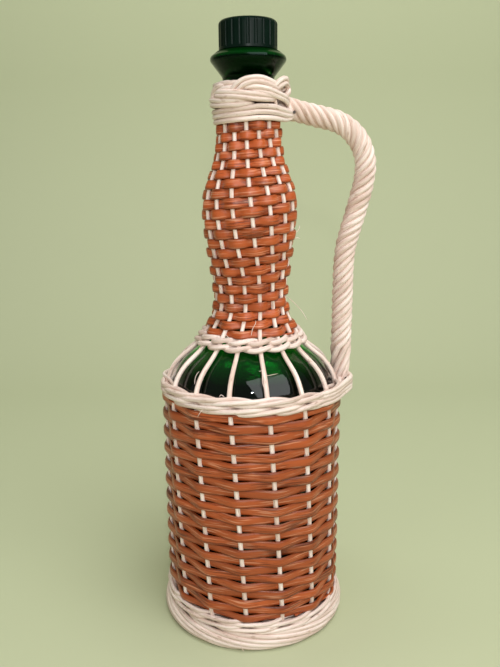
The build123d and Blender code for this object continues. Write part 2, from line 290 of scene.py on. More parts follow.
def willow(name, pale, deep, fibre_and_sheen_colour, fibre_and_sheen_depth, streak_depth, evenness, bruising, roughness, shine,
           edge_shade_depth):
    """Split or peeled willow: long fibres, slow colour changes along the rod, bruises, streaks with painted
    sheen, painted edge shade.
    """
    material, tree, shader = new_material(name)
    grain = add_node(tree, "ShaderNodeAttribute", {"attribute_name": "grain"}).outputs["Vector"]
    tone = add_node(tree, "ShaderNodeAttribute", {"attribute_name": "tone"}).outputs["Fac"]
    fibre_place = add_node(tree, "ShaderNodeMapping", {"Scale": (1.0, 1.0, 0.03)}, Vector=grain)
    fibres = add_node(tree, "ShaderNodeTexNoise", {"Scale": 1.5, "Detail": 5.0, "Roughness": 0.7},
                      Vector=fibre_place.outputs["Vector"])
    drift_place = add_node(tree, "ShaderNodeMapping", {"Scale": (0.25, 0.25, 0.035)}, Vector=grain)
    drift = add_node(tree, "ShaderNodeTexNoise", {"Scale": 1.0, "Detail": 3.0},
                     Vector=drift_place.outputs["Vector"])
    bruise_place = add_node(tree, "ShaderNodeMapping", {"Scale": (0.5, 0.5, 0.16)}, Vector=grain)
    bruises = add_node(tree, "ShaderNodeTexNoise", {"Scale": 1.3, "Detail": 4.0},
                       Vector=bruise_place.outputs["Vector"])
    mixed = add_node(tree, "ShaderNodeMath", {"operation": "MULTIPLY_ADD"})
    tree.links.new(fibres.outputs["Fac"], mixed.inputs[0])
    mixed.inputs[1].default_value = streak_depth
    tree.links.new(drift.outputs["Fac"], mixed.inputs[2])
    middle = streak_depth / 2 + 0.5
    between = tuple((light + dark) / 2 for light, dark in zip(pale, deep))
    wood = colour_steps(tree, mixed.outputs["Value"], [
        (middle - evenness, deep), (middle, between), (middle + evenness, pale)])
    bruise_colour = colour_steps(tree, bruises.outputs["Fac"], [
        (0.27, (0.62, 0.5, 0.42)), (0.4, (1.0, 1.0, 1.0)), (0.7, (1.0, 1.0, 1.0))])
    bruised = add_node(tree, "ShaderNodeMix", {"data_type": "RGBA", "blend_type": "MULTIPLY"})
    bruised.inputs["Factor"].default_value = bruising
    tree.links.new(wood, bruised.inputs["A"])
    tree.links.new(bruise_colour, bruised.inputs["B"])
    # Pale streaks along the grain: partly paler fibres, partly painted sheen of light glinting along them.
    fibre_and_sheen_place = add_node(tree, "ShaderNodeMapping", {"Scale": (1.0, 1.0, 0.045)}, Vector=grain)
    fibre_and_sheen_noise = add_node(tree, "ShaderNodeTexNoise", {"Scale": 1.35, "Detail": 2.0},
                       Vector=fibre_and_sheen_place.outputs["Vector"])
    fibre_and_sheen_streaks = add_node(tree, "ShaderNodeMapRange",
                            {"From Min": 0.56, "From Max": 0.68, "To Max": fibre_and_sheen_depth},
                            Value=fibre_and_sheen_noise.outputs["Fac"])
    with_fibre_and_sheen = add_node(tree, "ShaderNodeMix", {"data_type": "RGBA"})
    tree.links.new(fibre_and_sheen_streaks.outputs["Result"], with_fibre_and_sheen.inputs["Factor"])
    tree.links.new(bruised.outputs["Result"], with_fibre_and_sheen.inputs["A"])
    with_fibre_and_sheen.inputs["B"].default_value = (*fibre_and_sheen_colour, 1)
    toned = add_node(tree, "ShaderNodeVectorMath", {"operation": "SCALE"})
    tree.links.new(with_fibre_and_sheen.outputs["Result"], toned.inputs[0])
    # Painted shade: the colour darkens towards the strand's two edges, where it turns away under its
    # neighbours; none on peeled willow.
    across = add_node(tree, "ShaderNodeSeparateXYZ", Vector=grain).outputs["X"]
    off_middle = add_node(tree, "ShaderNodeMath", {"operation": "ABSOLUTE"}, Value=across).outputs["Value"]
    painted_edge_shade = add_node(tree, "ShaderNodeMapRange",
                         {"From Min": 1.2, "From Max": 2.6, "To Min": 1.0, "To Max": 1 - edge_shade_depth},
                         Value=off_middle)
    shaded = add_node(tree, "ShaderNodeMath", {"operation": "MULTIPLY"})
    tree.links.new(tone, shaded.inputs[0])
    tree.links.new(painted_edge_shade.outputs["Result"], shaded.inputs[1])
    tree.links.new(shaded.outputs["Value"], toned.inputs["Scale"])
    tree.links.new(toned.outputs["Vector"], shader.inputs["Base Color"])
    polish = add_node(tree, "ShaderNodeMapRange", {"To Min": roughness - 0.1, "To Max": roughness + 0.12},
                      Value=fibres.outputs["Fac"])
    tree.links.new(polish.outputs["Result"], shader.inputs["Roughness"])
    ridges = add_node(tree, "ShaderNodeBump", {"Strength": 0.55, "Distance": 0.00025},
                      Height=fibres.outputs["Fac"])
    tree.links.new(ridges.outputs["Normal"], shader.inputs["Normal"])
    shader.inputs["Specular IOR Level"].default_value = shine
    return material


peeled_willow = willow(
    "peeled_willow", pale=(0.93, 0.77, 0.69), deep=(0.68, 0.5, 0.41), fibre_and_sheen_colour=(0.97, 0.88, 0.82),
    fibre_and_sheen_depth=0.5, streak_depth=0.8, evenness=0.21, bruising=0.8, roughness=0.45, shine=0.32, edge_shade_depth=0)


def small_change(place, spread, seed):
    """A smooth change between -1 and 1 that depends only on the place, in metres."""
    return noise.noise(place * spread + Vector((seed * 17.3, seed * 5.1, seed * 9.7)))


stakes = start_piece()
for number in range(stake_count):
    stations = []
    for step in range(stake_stations + 1):
        level = stake_foot + step / stake_stations * (stake_top - stake_foot)
        turn = stake_turn(number, level)
        place = round_bottle(stake_ring(level) + stake_set(level), turn, level)
        thick = stake_thick * (bend_through(stake_thick_levels, stake_thick_shares, level)
                               + stake_uneven * small_change(place, 60, number))
        tone = stake_tone + stake_tone_play * small_change(place, 25, number)
        stations.append((place, away(turn), thick, thick, tone))
    lay_rod(stakes, stations)
finish_piece(stakes, "stakes", peeled_willow, "peeled_willow",
             *[f"stake_{number + 1:02d}" for number in range(stake_count)])

# Body weaver: brown split willow, about 5 mm wide and 1.8 mm thick, that winds up round the body.
# It goes over one stake and under the next. Fifteen is odd, so each turn passes the other way from the last.
body_weave_bottom = 19.0
body_weave_pitch = 4.925
body_rows = 24
body_strand = 1.8
steps_between_stakes = 8
cut_end = 3
end_width = 0.2
swing_flatness = 0.93
row_wander = 0.35
step_wander = 0.12
width_play = 0.05
depth_play = 0.06
kink_reach = 0.58
kink_softness = 0.08
row_tone_play = 0.32
spot_tone_play = 0.1
lean_play = 0.12
strand_sides = 12
strand_squareness = 0.7
settle_levels = (
    16, 30, 45, 60, 80, 100, 115, 130, 137, 160, 180,
    190, 200, 210, 220, 230, 240, 250, 260, 270, 280, 284)
settle_falls = (
    -2.0, -3.2, -3.1, -2.8, -2.7, -2.5, -1.7, -0.7, -0.3, -0.6, -1.2,
    -1.7, -1.4, -1.0, -0.8, -0.2, 0.7, 1.0, 0.6, 0.1, -0.2, 0.0)
settle_tilts = (
    -1.8, -3.3, -3.3, -2.9, -2.2, -1.7, -0.9, -0.9, -0.6, 0.0, 0.3,
    0.3, 0.4, 1.4, 1.2, 1.2, 1.2, 0.7, 0.2, 0.4, 0.3, 0.0)
# The brown strands get painted shade darkening their edges.
brown_willow = willow(
    "brown_willow", pale=(0.43, 0.085, 0.019), deep=(0.11, 0.0145, 0.003), fibre_and_sheen_colour=(0.74, 0.33, 0.19),
    fibre_and_sheen_depth=0.75, streak_depth=1.2, evenness=0.34, bruising=0.3, roughness=0.34, shine=0.5,
    edge_shade_depth=0.45)


def settled(level, turn):
    """Where a row laid at a level ends up once the next rows have pressed on it, more on one side."""
    fall = bend_through(settle_levels, settle_falls, level)
    return level + fall + bend_through(settle_levels, settle_tilts, level) * math.sin(math.radians(turn))


def weave(made, bottom, rows, pitch, strand, fullness, swell, offset, play, grip=1.0, tone_and_painted_light=1.0):
    """Winds a strand up the stakes row by row; it swings out over one stake and in behind the next."""
    stations = []
    for step in range(cut_end, (rows + 1) * stake_count * steps_between_stakes - cut_end + 1):
        turns = step / (stake_count * steps_between_stakes)
        phase = math.pi * step / steps_between_stakes
        swing = math.asin(swing_flatness * math.cos(phase)) / math.asin(swing_flatness)
        swing = math.copysign(abs(swing) ** grip, swing)
        if turns < 1:
            level = bottom + pitch * turns / 2
        elif turns > rows:
            level = bottom + pitch * (rows - 1 + turns) / 2
        else:
            level = bottom + pitch * (turns - 0.5)
        turn = stake_turn(step / steps_between_stakes, level)
        room = settled(level + pitch / 2, turn) - settled(level - pitch / 2, turn)
        level = settled(level, turn)
        turn = stake_turn(step / steps_between_stakes, level)
        spot = round_bottle(stake_ring(level), turn, level)
        rise = (row_wander * small_change(spot, 30, 1)
                + step_wander * small_change(Vector((turns, step / 40, 0)), 1.0, 2))
        fit = min(turns, 1, rows + 1 - turns)
        filled = fullness + swell * swing + width_play * small_change(spot, 90, 3)
        wide = room * filled * max(fit, end_width)
        deep = strand * (1 + depth_play * small_change(spot, 70, 4))
        bend = math.pi / stake_count
        off_stake = 0.5 - abs(step / steps_between_stakes % 1 - 0.5)
        reach = kink_reach - math.hypot(off_stake, kink_softness)
        chord = math.cos(bend) / math.cos(2 * bend * reach)
        radius = stake_ring(level) * chord + offset + swing * play
        # On the neck the base tone is raised, painted light for the flash that lights the neck more than the
        # body.
        tone = (tone_and_painted_light + row_tone_play * small_change(Vector((turns * 1.7, 0.3, 0)), 1.0, 5)
                + spot_tone_play * small_change(spot, 20, 6))
        lean = away(turn, level) + Vector((0, 0, lean_play * small_change(spot, 50, 7)))
        stations.append((round_bottle(radius, turn, level + rise * fit), lean, wide, deep, tone))
    lay_rod(made, stations, sides=strand_sides, squareness=strand_squareness)


body_weaver = start_piece()
weave(body_weaver, body_weave_bottom, body_rows, body_weave_pitch, body_strand,
      fullness=1.05, swell=0.02, offset=1.35, play=1.25)
finish_piece(body_weaver, "body_weave", brown_willow, "brown_willow", "body_weaver")

# Neck weaver: a finer strand of the same brown willow, woven on the same stakes over the bulged neck.
# It starts above the upper band and ends under the collar, held by the stakes alone.
neck_rows = 23
neck_weave_top = 283.4
neck_pitch = (neck_weave_top - neck_weave_bottom) / neck_rows
neck_strand = 1.6
neck_weaver = start_piece()
# Its strands are painted 18 % lighter, painted light where the flash lights the neck more.
weave(neck_weaver, neck_weave_bottom, neck_rows, neck_pitch, neck_strand,
      fullness=1.06, swell=0.02, offset=0.1, play=1.6, grip=0.65, tone_and_painted_light=1.18)
finish_piece(neck_weaver, "neck_weave", brown_willow, "brown_willow", "neck_weaver")

# Upper band: two rounds of twined peeled rods at the foot of the neck, drawn tight and slanting the same way.
# In each round two rods cross between the stakes, one in front and one behind.
upper_band_bottom = 164.7
upper_band_pitch = 3.3
upper_band_climb = 0.8
upper_band_squareness = 0.8
upper_band_depth = 2.15
upper_band_depth_play = 0.55
upper_band_width = 2.6
upper_band_width_play = 0.4
upper_band_offset = 0.45
upper_band_play = 1.95
upper_band_uneven = 0.06
upper_band_tone = 0.98
upper_band_tone_play = 0.05
band_seam = 7
upper_band = start_piece()
for round_number in range(2):
    middle_level = upper_band_bottom + (round_number + 0.5) * upper_band_pitch
    for rod in range(2):
        stations = []
        for step in range(stake_count * steps_between_stakes + 1):
            number = step / steps_between_stakes + band_seam
            phase = math.pi * (number + rod)
            swing = math.copysign(abs(math.cos(phase)) ** upper_band_squareness, math.cos(phase))
            level = middle_level + upper_band_climb * math.sin(phase)
            deep = upper_band_depth + upper_band_depth_play * swing
            turn = stake_turn(number, middle_level)
            radius = stake_ring(level) + upper_band_offset + swing * upper_band_play
            place = round_bottle(radius, turn, level)
            uneven = 1 + upper_band_uneven * small_change(place, 80, 11)
            wide = (upper_band_width + upper_band_width_play * swing) * uneven
            tone = upper_band_tone + upper_band_tone_play * small_change(place, 30, 12)
            stations.append((place, away(turn, level), wide, deep, tone))
        lay_rod(upper_band, stations)
finish_piece(upper_band, "upper_band", peeled_willow, "peeled_willow", "upper_band_rod_1", "upper_band_rod_2")

# Lower band: two rounds of waling with three peeled rods each, which hold the stakes at the shoulder.
# Each rod passes in front of two stakes, climbing over its neighbour's start, and goes behind the third.
# Four more rods sweep round the foot of the handle and bind it to the band.
body_ring = stake_ring(60)
band_thick = 2.65
tucked_depth = 2.0
tilt_gain = 1.3
flare_play = 0.5
band_uneven = 0.09
band_wander = 0.25
band_tone = 0.97
band_tone_play = 0.09
wound_steps = 10
wound_end_share = 0.5
wound_uneven = 0.05
wound_tone_play = 0.06
binding_levels = (137.4, 139.5, 141.6, 143.5)
binding_places = (
    (40, 0, 50.2), (58, 0.4, 52.2), (73, 0.8, 53.0), (83, 1.2, 55.2), (88.5, 1.5, 57.0), (93, 1.6, 57.6),
    (97.5, 1.5, 57.0), (103, 1.2, 55.2), (113, 0.8, 53.0), (126, 0.4, 52.2), (144, 0, 50.2))


def wale(made, middle_level, climb, thick, flare, seed, hold=1.0, sink=0.0):
    """Lays one round of waling: three rods, each outside two stakes and then behind the third."""
    for rod in range(3):
        stations = []
        for step in range(stake_count * steps_between_stakes + 1):
            number = step / steps_between_stakes + band_seam
            stroke = (number - rod) % 3
            inside = min(abs(stroke - 2.5), 3 - abs(stroke - 2.5))
            swing = -math.cos(math.pi * min(inside, 1))
            if stroke < 2:
                lift = max(-hold, min(hold, stroke - 1))
            else:
                lift = hold * math.cos(math.pi * (stroke - 2))
            turn = stake_turn(number, middle_level)
            tilt = bend_through(settle_levels, settle_tilts, middle_level) * math.sin(math.radians(turn))
            dip = sink * math.sin(math.radians(turn)) ** 2
            level = middle_level + climb * lift + tilt_gain * tilt - dip
            deep = (thick + tucked_depth) / 2 + swing * (thick - tucked_depth) / 2
            stand_out = max(swing, 0) * (flare + flare_play * lift / hold)
            radius = body_ring + swing * (stake_thick + deep) / 2 + stand_out
            place = round_bottle(radius, turn, level)
            wide = thick * (1 + band_uneven * small_change(place, 45, seed + rod))
            place.z += band_wander * small_change(place, 30, seed) * mm
            tone = band_tone + band_tone_play * small_change(place, 18, seed + rod)
            stations.append((place, away(turn), wide, deep, tone))
        lay_rod(made, stations)


def lay_wound(made, places, thick, seed):
    """A rod led through places given as degrees from the front, level and radius, with tapered ends."""
    marks = list(range(len(places)))
    last = len(places) - 1
    stations = []
    for step in range(wound_steps * last + 1):
        share = step / wound_steps
        turn, level, radius = (bend_through(marks, values, share) for values in zip(*places))
        place = round_bottle(radius, turn, level)
        taper = min(1, wound_end_share + share, wound_end_share + last - share)
        wide = thick * (1 + wound_uneven * small_change(place, 60, seed)) * taper
        tone = 1.0 + wound_tone_play * small_change(place, 40, seed + 1)
        stations.append((place, away(turn), wide, wide, tone))
    lay_rod(made, stations)


lower_band = start_piece()
wale(lower_band, middle_level=138.8, climb=2.3, thick=band_thick, flare=0.3, seed=21, hold=0.58, sink=0.4)
wale(lower_band, middle_level=143.3, climb=2.3, thick=band_thick, flare=0.1, seed=25, hold=0.58, sink=2.0)
for binding_level in binding_levels:
    places = [(turn, binding_level - drop, radius) for turn, drop, radius in binding_places]
    lay_wound(lower_band, places, band_thick, seed=91)
finish_piece(lower_band, "lower_band", peeled_willow, "peeled_willow",
             "lower_band_rod_1", "lower_band_rod_2", "lower_band_rod_3")

# Foot wale: two looser rounds of the same waling, in peeled rods 2.25 mm thick above the foot border.
# It spaces the stakes at the foot, and the first row of brown willow lies on it.
foot_wale_level = 11.8
foot_wale_pitch = 3.2
foot_wale_thick = 2.25
foot_wale = start_piece()
for round_number, flare in enumerate((1.0, 0.4)):
    wale(foot_wale, foot_wale_level + foot_wale_pitch * round_number, climb=1.75, thick=foot_wale_thick,
         flare=flare, seed=31 + 4 * round_number)
finish_piece(foot_wale, "foot_wale", peeled_willow, "peeled_willow",
             "foot_wale_rod_1", "foot_wale_rod_2", "foot_wale_rod_3")

# Foot border: the stakes' lower ends, bent over and rolled round the edge, so that the bottle stands on them.
# Each end leaves the wale, turns outwards and down, and is tucked under the basket seven stakes further on.
border_thick = 2.75
border_steps = (0, 1.0, 2.2, 3.4, 4.6, 6.2, 7.6)
border_radii = (48.6, 51.0, 52.3, 52.5, 51.0, 47.0, 43.4)
border_levels = (10.6, 9.2, 6.6, 3.8, 1.45, 1.45, 1.9)
border_stations = 62
border_start_share = 0.5
border_end = 8.1
border_uneven = 0.06
border_tone = 0.98
border_tone_play = 0.07
foot_border = start_piece()
for number in range(stake_count):
    stations = []
    for step in range(border_stations):
        share = step / steps_between_stakes
        radius = bend_through(border_steps, border_radii, share)
        level = bend_through(border_steps, border_levels, share)
        turn = stake_turn(number + share, border_levels[0])
        place = round_bottle(radius, turn, level)
        uneven = 1 + border_uneven * small_change(place, 40, 41 + number)
        wide = border_thick * uneven * min(border_start_share + share, 1, border_end - share)
        tone = border_tone + border_tone_play * small_change(place, 18, 41 + number)
        stations.append((place, away(turn), wide, wide, tone))
    lay_rod(foot_border, stations)
finish_piece(foot_border, "foot_border", peeled_willow, "peeled_willow",
             *[f"foot_border_rod_{number + 1}" for number in range(5)])

# Base: two crossed layers of four peeled sticks under the glass, each 2.95 mm thick.
# A thin flat rod is woven round and round them, over the sticks of one layer and under those of the other.
stick_count = 4
stick_pitch = 6.5
stick_thick = 2.95
stick_uneven = 0.03
stick_corner = 1.5
stick_half_stations = 12
base_reach = 43.2
base_tone = 0.95
upright = Vector((0, 0, 1))
base_sticks = start_piece()
for name, along in (("base_sticks_lower", Vector((1, 0, 0))), ("base_sticks_upper", Vector((0, 1, 0)))):
    low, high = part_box(name)
    level = (low.z + high.z) / 2
    side = Vector((along.y, along.x, 0))
    for number in range(stick_count):
        offset = (number - (stick_count - 1) / 2) * stick_pitch
        half = math.sqrt(base_reach ** 2 - (abs(offset) + stick_corner) ** 2)
        stations = []
        for step in range(2 * stick_half_stations + 1):
            share = step / stick_half_stations - 1
            place = (along * share * half + side * offset) * mm + Vector((0, 0, level))
            thick = stick_thick * (1 + stick_uneven * small_change(place, 60, 51 + number))
            stations.append((place, upright, thick, thick, base_tone))
        lay_rod(base_sticks, stations)
finish_piece(base_sticks, "base_sticks", peeled_willow, "peeled_willow",
             "base_sticks_lower", "base_sticks_upper")

base_weave_turns = 9
base_weave_stations = 48
base_weave_start = 16.8
base_weave_pitch = 2.85
base_weave_level = 3.3
base_weave_play = 2.35
base_weave_width = 2.7
base_weave_depth = 1.2
base_weaver = start_piece()
stations = []
for step in range(base_weave_turns * base_weave_stations + 1):
    turns = step / base_weave_stations
    radius = base_weave_start + turns * base_weave_pitch
    way = math.cos(math.radians(turns * 360)) ** 2 * (1 if int(turns * 2 + 0.5) % 2 else -1)
    place = round_bottle(radius, turns * 360 + 90, base_weave_level + base_weave_play * way)
    stations.append((place, upright, base_weave_width, base_weave_depth, base_tone))
lay_rod(base_weaver, stations)
finish_piece(base_weaver, "base_weave", peeled_willow, "peeled_willow", "base_weaver")

# Collar lining: a brown split strand, 2.6 mm wide, wound seven times on the glass neck.
# It packs out the collar and shows as dark strands in its gaps; its brown is darkened to three tenths,
# painted shade of the deep gaps.
lining_turns = 7
lining_stations = 32
throat_level = 282.0
lining_start = 1.4
lining_pitch = 2.45
lining_offset = 1.6
lining_width = 2.6
lining_depth = 2.8
lining_painted_shade = 0.3
collar_lining = start_piece()
stations = []
for step in range(lining_turns * lining_stations + 1):
    turns = step / lining_stations
    level = throat_level + lining_start + turns * lining_pitch
    place = round_bottle(glass_radius(level) + lining_offset, turns * 360, level)
    stations.append((place, away(turns * 360), lining_width, lining_depth, lining_painted_shade))
lay_rod(collar_lining, stations)
finish_piece(collar_lining, "collar_packing", brown_willow, "brown_willow", "collar_lining")

# Collar: peeled rods, 2.65 mm thick, wound round the lining, crossed and knotted above the handle's root.
# Each rod is given by places along it: degrees from the front, level and radius.
collar_thick = 2.65
collar_rods = [
    [(88, 285.6, 24.0), (74, 284.2, 20.2), (58, 284.3, 18.6), (41, 284.6, 18.2), (16, 284.6, 18.1),
     (0, 284.2, 18.0), (-22, 283.7, 17.9), (-50, 283.3, 17.8), (-79, 283.1, 17.6), (-120, 283.2, 17.6),
     (-180, 283.6, 17.6), (-235, 284.6, 18.4), (-262, 286.2, 23.0)],
    [(91, 287.0, 25.0), (76, 286.2, 21.4), (58, 286.9, 19.2), (41, 287.4, 18.6), (16, 287.5, 18.4),
     (0, 286.9, 18.3), (-22, 286.3, 18.2), (-50, 285.9, 18.1), (-76, 285.7, 18.0), (-120, 286.0, 18.0),
     (-180, 286.3, 18.0), (-235, 287.4, 19.0), (-262, 288.4, 24.0)],
    [(94, 288.2, 26.5), (80, 288.0, 22.3), (58, 289.2, 19.8), (41, 290.1, 18.9), (16, 290.2, 18.6),
     (0, 289.4, 18.5), (-22, 288.7, 18.4), (-50, 288.3, 18.3), (-76, 288.2, 18.3), (-120, 288.5, 18.3),
     (-180, 288.9, 18.3), (-235, 290.2, 19.4), (-262, 291.0, 25.0)],
    [(9, 291.4, 16.8), (-3, 291.5, 18.6), (-12, 291.0, 19.2), (-25, 290.7, 19.4), (-50, 290.9, 19.3),
     (-72, 291.5, 19.3), (-92, 291.9, 19.2), (-130, 291.5, 18.9), (-180, 291.5, 18.8), (-235, 292.6, 19.8),
     (-262, 293.4, 24.0)],
    [(3, 292.4, 16.8), (-8, 292.9, 18.6), (-22, 293.0, 19.2), (-48, 293.3, 19.5), (-70, 294.0, 19.5),
     (-92, 294.5, 19.5), (-130, 294.2, 19.2), (-180, 294.1, 19.1), (-235, 295.0, 19.9), (-262, 295.6, 22.0)],
    [(48, 293.6, 17.0), (40, 293.4, 18.9), (27, 293.3, 19.7), (10, 293.5, 20.0), (-5, 294.1, 20.1),
     (-21, 294.8, 20.0), (-40, 295.1, 19.7), (-60, 295.6, 18.7), (-74, 296.3, 17.4)],
    [(54, 294.9, 17.4), (42, 294.9, 19.1), (27, 295.2, 19.9), (10, 295.8, 20.2), (-5, 296.4, 20.1),
     (-21, 297.0, 19.9), (-40, 297.4, 19.5), (-60, 297.7, 18.5), (-74, 297.4, 17.4)],
    [(-42, 300.6, 18.4), (-56, 300.1, 18.8), (-67, 298.6, 19.0), (-73, 296.6, 19.1), (-74, 294.8, 19.0),
     (-77, 293.2, 17.8)],
    [(-12, 299.2, 17.4), (-30, 299.2, 18.6), (-50, 298.8, 18.2), (-75, 297.4, 18.0), (-110, 296.8, 18.4),
     (-150, 296.8, 18.8), (-200, 296.9, 18.9), (-240, 297.6, 19.4), (-272, 297.2, 20.0)],
    [(-5, 301.4, 16.8), (-25, 301.5, 17.6), (-50, 301.0, 17.7), (-80, 299.7, 17.7), (-110, 299.2, 18.1),
     (-150, 299.5, 18.6), (-200, 299.6, 18.8), (-240, 300.2, 19.2), (-272, 299.9, 19.6)],
    [(-36, 296.2, 17.6), (-25, 298.6, 18.9), (-16, 301.2, 19.2), (-5, 303.0, 19.1), (10, 303.8, 19.0),
     (21, 303.6, 19.2), (32, 302.6, 19.5), (42, 301.4, 19.5), (56, 300.2, 19.2), (68, 299.4, 18.0)],
    [(-23, 296.4, 17.6), (-14, 298.4, 19.0), (-6, 300.2, 19.6), (5, 301.4, 19.9), (15.5, 301.6, 20.0),
     (26, 301.0, 20.0), (39, 299.9, 19.8), (50, 298.8, 19.2), (60, 297.8, 18.2)],
    [(-14, 298.6, 17.2), (-2, 299.1, 18.8), (8, 299.3, 19.7), (18, 299.0, 20.2), (33, 297.9, 20.4),
     (47, 296.4, 20.8), (60, 295.2, 21.2), (72, 293.9, 21.0), (80, 292.6, 20.6)],
    [(-4, 296.8, 17.4), (12, 297.2, 19.2), (30, 296.2, 20.1), (46, 294.9, 20.4), (60, 293.8, 20.8),
     (74, 292.2, 20.8), (82, 290.8, 20.6)],
    [(36, 297.6, 17.6), (43, 300.4, 19.6), (50, 302.6, 20.6), (59, 303.9, 20.8), (72, 304.0, 20.6),
     (82, 302.4, 20.2), (86, 300.2, 20.2), (84, 298.2, 20.4), (78, 296.4, 20.4), (72, 294.8, 19.6)],
    [(42, 296.8, 17.8), (50, 299.6, 19.8), (57, 300.9, 20.6), (66, 301.7, 20.6), (76, 301.2, 20.6),
     (84, 300.0, 20.8), (80, 298.0, 21.2), (74, 296.6, 20.6), (68, 295.4, 19.0)],
    [(70, 298.2, 17.6), (84, 300.0, 19.0), (105, 302.0, 19.2), (135, 303.2, 18.8), (170, 303.4, 18.2),
     (210, 303.2, 18.0), (245, 302.3, 17.9), (280, 301.4, 17.4), (310, 301.7, 17.2), (335, 301.9, 17.0)],
    [(80, 295.4, 18.4), (98, 297.6, 20.4), (120, 298.6, 20.6), (150, 301.2, 20.2), (175, 302.0, 19.6),
     (200, 301.6, 18.0)],
    [(96, 293.0, 28.0), (100, 294.6, 23.0), (112, 295.8, 21.0), (135, 296.0, 20.6), (165, 293.6, 20.4),
     (190, 292.6, 18.8)],
]
collar_tie = [(50.5, 288.6, 17.9), (49.2, 290.6, 18.3), (48.0, 292.4, 18.5), (46.8, 294.2, 18.3)]
collar_tie_thick = 1.9
collar = start_piece()
for rod_number, places in enumerate(collar_rods):
    lay_wound(collar, places, collar_thick, seed=61 + rod_number)
lay_wound(collar, collar_tie, collar_tie_thick, seed=60)
finish_piece(collar, "collar", peeled_willow, "peeled_willow",
             *[f"collar_rod_{number + 1}" for number in range(8)])

# Handle: a core rod with six peeled rods laid round it like a rope, about 11.7 mm thick over all.
# It grows out of the collar, bows out and down, and stands in the lower band.
handle_corners = [(14.6, 291.6), (65.4, 279.0), (62.2, 250.0), (52.4, 214.0), (51.4, 137.4)]
handle_bends = (25.5, 60.0, 60.0)
handle_azimuth = 3.0
handle_ring = 3.85
handle_pitch = 27.5
handle_unlay = 165.0
handle_unlay_share = 0.5
handle_foot_share = 0.72
handle_foot_run = 60
handle_core_thick = 3.6
handle_core_tone = 0.8
handle_rod_width = 3.3
handle_rod_depth = 4.1
handle_wander = 0.22
handle_uneven = 0.1
handle_tone_play = 0.06
bend_points = 40


def handle_route():
    """The handle's middle line in its own plane: straight runs joined by its bends."""
    corners = [Vector((*corner, 0)) for corner in handle_corners]
    points = [corners[0]]
    for before, corner, after, radius in zip(corners, corners[1:], corners[2:], handle_bends):
        back, onward = (before - corner).normalized(), (after - corner).normalized()
        half = back.angle(onward) / 2
        reach = radius / math.tan(half)
        pull = 4 / 3 * math.tan((math.pi / 2 - half) / 2) * radius
        start, end = corner + back * reach, corner + onward * reach
        points += interpolate_bezier(start, start - back * pull, end - onward * pull, end, bend_points)
    return points + [corners[-1]]


def space_out(points, step):
    """The same route with a point at every step along it."""
    spaced, left = [points[0]], step
    for before, after in zip(points, points[1:]):
        run = (after - before).length
        while left <= run:
            spaced.append(before.lerp(after, left / run))
            left += step
        left -= run
    return spaced


handle_lean = Vector((math.cos(math.radians(handle_azimuth)), math.sin(math.radians(handle_azimuth)), 0))
handle_side = handle_lean.cross(Vector((0, 0, 1)))
middle_line = [(handle_lean * point.x + Vector((0, 0, point.y))) * mm
               for point in space_out(handle_route(), 1.0)]


def handle_face(number, angle):
    """Direction out of the handle at an angle round its middle line."""
    after = middle_line[min(number + 1, len(middle_line) - 1)]
    ahead = (after - middle_line[max(number - 1, 0)]).normalized()
    return handle_side * math.cos(angle) + ahead.cross(handle_side) * math.sin(angle)


handle = start_piece()
lay_rod(handle, [(place, handle_side, handle_core_thick, handle_core_thick, handle_core_tone)
                 for place in middle_line[::4]])
for rod in range(6):
    stations = []
    for number, place in enumerate(middle_line):
        laid = min(number, handle_unlay + (number - handle_unlay) * handle_unlay_share)
        angle = math.tau * ((rod + 0.5) / 6 + laid / handle_pitch)
        face = handle_face(number, angle)
        uneven = small_change(place, 55, 71 + rod)
        wide = handle_rod_width * (1 + handle_uneven * uneven)
        drawn_in = min(1, handle_foot_share + (len(middle_line) - number) / handle_foot_run)
        off_middle = handle_ring * drawn_in + handle_wander * small_change(place, 80, 81 + rod)
        tone = 1.0 + handle_tone_play * uneven
        stations.append((place + face * off_middle * mm, face, wide, handle_rod_depth, tone))
    lay_rod(handle, stations, sides=12)
finish_piece(handle, "handle", peeled_willow, "peeled_willow",
             "handle_core", *[f"handle_rod_{number + 1}" for number in range(6)])

# Stray fibres: thin splinters and hairs of willow that stand off the jacket where the knife raised them.
# Each is given by places along it: degrees from the front, level and radius.
fibre_thick = 0.32
fibre_places = [
    [(6.5, 180.6, 22.6), (6.2, 179.6, 23.9), (2.1, 176.8, 25.4), (0.1, 173.3, 27.3)],
    [(-29.8, 174.8, 26.4), (-29.0, 173.6, 27.9), (-26.1, 172.7, 28.2), (-23.2, 171.3, 28.8)],
    [(8.6, 158.4, 38.0), (7.8, 156.0, 41.4), (7.4, 153.0, 44.2), (8.2, 149.6, 46.3)],
    [(9.4, 157.0, 38.4), (7.4, 157.9, 40.3), (5.7, 157.6, 40.2)],
    [(10.2, 155.4, 40.6), (13.0, 155.2, 40.4), (16.2, 155.1, 39.4), (20.5, 155.3, 39.1)],
    [(-41.4, 155.4, 41.8), (-41.6, 153.9, 43.6), (-41.3, 152.0, 45.0), (-40.0, 149.6, 46.4)],
    [(-20.4, 145.4, 47.6), (-19.6, 146.4, 48.6), (-18.6, 147.0, 48.4), (-16.8, 146.1, 48.4)],
    [(-28.4, 139.6, 52.6), (-29.0, 138.4, 54.0), (-30.0, 137.0, 54.3), (-31.4, 135.2, 53.6)],
    [(-7.6, 7.0, 53.2), (-7.3, 5.2, 54.4), (-7.0, 3.3, 54.6), (-5.8, 1.2, 54.2)],
    [(74, 224.0, 22.6), (79, 225.6, 25.6), (84, 227.4, 27.0), (86, 229.0, 27.2)],
    [(77, 221.6, 22.8), (82, 222.4, 25.8), (87, 221.8, 27.6)],
    [(82, 191.0, 19.0), (86, 186.6, 23.8), (89, 181.2, 28.6), (91, 175.6, 32.0)],
]
stray_fibres = start_piece()
for number, places in enumerate(fibre_places):
    lay_wound(stray_fibres, places, fibre_thick, seed=101 + number)
finish_piece(stray_fibres, "stray_fibres", peeled_willow, "peeled_willow")

